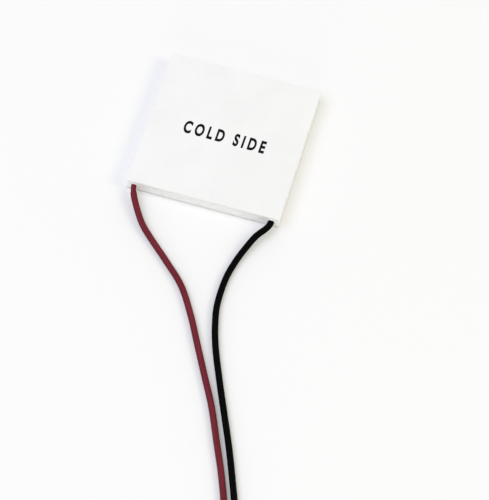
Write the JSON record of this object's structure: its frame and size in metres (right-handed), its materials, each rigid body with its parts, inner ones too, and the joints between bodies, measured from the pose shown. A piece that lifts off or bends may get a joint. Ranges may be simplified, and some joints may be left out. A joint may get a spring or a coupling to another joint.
{
  "type": "thermoelectric cooling module",
  "caption": "Thin square cooling module: two white ceramic plates around a sealed field of thermoelectric pellets, with a red and a black lead from one edge.",
  "frame": {"origin": "middle of the hot plate's outer face, on the surface that the module lies on", "axes": "+Z through the module towards the cold plate, -Y towards the edge where the leads come out, +X from the red lead to the black one"},
  "size_m": [0.0578, 0.1845, 0.0038],
  "materials": {
    "alumina": "matt sintered white",
    "silicone": "satin white, tooled by hand",
    "copper_tab": "satin copper, bonded to the ceramic",
    "solder": "bright tin solder",
    "tinned_copper": "tinned strands",
    "red_insulation": "dark red flexible plastic, slight gloss",
    "black_insulation": "black flexible plastic, slight gloss",
    "p_type_telluride": "dark grey sawn crystal",
    "n_type_telluride": "grey sawn crystal"
  },
  "bodies": {
    "root": {"hot_plate": "alumina", "cold_plate": "alumina", "silicone_bead": "silicone", "hot_tabs": "copper_tab", "cold_tabs": "copper_tab", "red_lead_tab": "copper_tab", "black_lead_tab": "copper_tab", "hot_solder": "solder", "cold_solder": "solder", "red_solder_joint": "solder", "black_solder_joint": "solder", "red_strand_tail": "tinned_copper", "black_strand_tail": "tinned_copper", "red_lead": "red_insulation", "black_lead": "black_insulation", "red_strand_tip": "tinned_copper", "black_strand_tip": "tinned_copper", "p_pellets_column_01": "p_type_telluride", "p_pellets_column_02": "p_type_telluride", "p_pellets_column_03": "p_type_telluride", "p_pellets_column_04": "p_type_telluride", "p_pellets_column_05": "p_type_telluride", "p_pellets_column_06": "p_type_telluride", "p_pellets_column_07": "p_type_telluride", "p_pellets_column_08": "p_type_telluride", "p_pellets_column_09": "p_type_telluride", "p_pellets_column_10": "p_type_telluride", "p_pellets_column_11": "p_type_telluride", "p_pellets_column_12": "p_type_telluride", "p_pellets_column_13": "p_type_telluride", "p_pellets_column_14": "p_type_telluride", "p_pellets_column_15": "p_type_telluride", "p_pellets_column_16": "p_type_telluride", "n_pellets_column_01": "n_type_telluride", "n_pellets_column_02": "n_type_telluride", "n_pellets_column_03": "n_type_telluride", "n_pellets_column_04": "n_type_telluride", "n_pellets_column_05": "n_type_telluride", "n_pellets_column_06": "n_type_telluride", "n_pellets_column_07": "n_type_telluride", "n_pellets_column_08": "n_type_telluride", "n_pellets_column_09": "n_type_telluride", "n_pellets_column_10": "n_type_telluride", "n_pellets_column_11": "n_type_telluride", "n_pellets_column_12": "n_type_telluride", "n_pellets_column_13": "n_type_telluride", "n_pellets_column_14": "n_type_telluride", "n_pellets_column_15": "n_type_telluride", "n_pellets_column_16": "n_type_telluride"}
  },
  "joints": []
}
